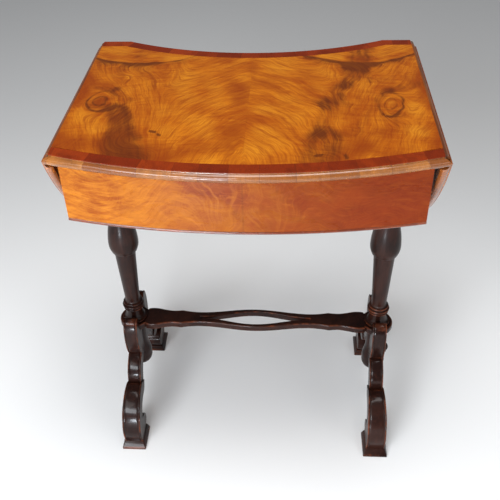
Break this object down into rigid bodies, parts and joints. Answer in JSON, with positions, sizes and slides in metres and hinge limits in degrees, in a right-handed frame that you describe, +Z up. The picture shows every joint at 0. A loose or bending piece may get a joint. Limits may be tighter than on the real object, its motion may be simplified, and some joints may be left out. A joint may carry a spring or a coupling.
{
  "type": "drop-leaf sewing table",
  "caption": "Small walnut work table with drop leaves, bowed and hollowed case, fitted drawer, turned columns on scroll legs and a pierced stretcher.",
  "frame": {"origin": "on the floor under the middle of the table: under the middle of the box round the whole table, in the plane of the two columns", "axes": "+Z up; +X to the right seen from the bowed side; +Y towards the hollowed side, where the sitter is and the drawer opens"},
  "size_m": [0.596, 0.466, 0.72],
  "materials": {
    "dark_stained_walnut": "ebonised and polished",
    "steel_fixings": "dull",
    "pine_secondary": "bare",
    "brass_fittings": "dull",
    "frieze_walnut": "french polish",
    "turned_walnut_knobs": "polished",
    "lock_brass": "dull",
    "bead_mahogany": "polished",
    "beech_secondary": "bare, darkened",
    "leaf_walnut": "french polish",
    "moulding_walnut": "french polish",
    "crossband_walnut": "french polish",
    "ground_pine": "bare",
    "figured_walnut": "french polish"
  },
  "bodies": {
    "table": {"bearer_left": "dark_stained_walnut", "bearer_right": "dark_stained_walnut", "bracket_pins": "steel_fixings", "case_bottom": "pine_secondary", "column_left": "dark_stained_walnut", "column_right": "dark_stained_walnut", "drawer_kickers": "pine_secondary", "drawer_rail_lower": "bead_mahogany", "drawer_rail_upper": "bead_mahogany", "drawer_runners": "pine_secondary", "fly_rail_left": "beech_secondary", "fly_rail_right": "beech_secondary", "foot_front_left": "dark_stained_walnut", "foot_front_right": "dark_stained_walnut", "foot_rear_left": "dark_stained_walnut", "foot_rear_right": "dark_stained_walnut", "front_bead": "bead_mahogany", "front_frieze": "frieze_walnut", "hinge_pins": "steel_fixings", "hinge_plate_screws": "steel_fixings", "hinge_plates_left": "brass_fittings", "hinge_plates_right": "brass_fittings", "leg_front_left": "dark_stained_walnut", "leg_front_right": "dark_stained_walnut", "leg_rear_left": "dark_stained_walnut", "leg_rear_right": "dark_stained_walnut", "post_button_left": "dark_stained_walnut", "post_button_right": "dark_stained_walnut", "post_left": "dark_stained_walnut", "post_right": "dark_stained_walnut", "side_rail_left": "pine_secondary", "side_rail_right": "pine_secondary", "stretcher": "dark_stained_walnut", "top_crossband_front": "crossband_walnut", "top_crossband_rear": "crossband_walnut", "top_moulding_front": "moulding_walnut", "top_moulding_rear": "moulding_walnut", "top_panel": "ground_pine", "top_veneer_left": "figured_walnut", "top_veneer_right": "figured_walnut"},
    "leaf_left": {"hinge_flaps_left": "brass_fittings", "leaf_left": "leaf_walnut", "leaf_moulding_left": "moulding_walnut", "leaf_screws_left": "steel_fixings"},
    "leaf_right": {"hinge_flaps_right": "brass_fittings", "leaf_moulding_right": "moulding_walnut", "leaf_right": "leaf_walnut", "leaf_screws_right": "steel_fixings"},
    "drawer": {"drawer_back": "pine_secondary", "drawer_bottom": "pine_secondary", "drawer_dividers": "pine_secondary", "drawer_escutcheon": "brass_fittings", "drawer_front": "frieze_walnut", "drawer_knobs": "turned_walnut_knobs", "drawer_lock": "lock_brass", "drawer_side_left": "pine_secondary", "drawer_side_right": "pine_secondary"},
    "bracket_left": {"fly_bracket_left": "beech_secondary"},
    "bracket_right": {"fly_bracket_right": "beech_secondary"}
  },
  "joints": [
    {"name": "leaf_left_hinge", "type": "hinge", "parent": "table", "child": "leaf_left", "pos_m": [-0.286, 0, 0.708], "axis": [0, 1, 0], "range_deg": [0, 90]},
    {"name": "leaf_right_hinge", "type": "hinge", "parent": "table", "child": "leaf_right", "pos_m": [0.286, 0, 0.708], "axis": [0, -1, 0], "range_deg": [0, 90]},
    {"name": "drawer_slide", "type": "slide", "parent": "table", "child": "drawer", "axis": [0, 1, 0], "range_m": [0, 0.25]},
    {"name": "bracket_left_hinge", "type": "hinge", "parent": "table", "child": "bracket_left", "pos_m": [-0.2631, 0, 0.67], "axis": [0, 0, 1], "range_deg": [0, 4]},
    {"name": "bracket_right_hinge", "type": "hinge", "parent": "table", "child": "bracket_right", "pos_m": [0.2631, 0, 0.67], "axis": [0, 0, -1], "range_deg": [0, 4]}
  ]
}
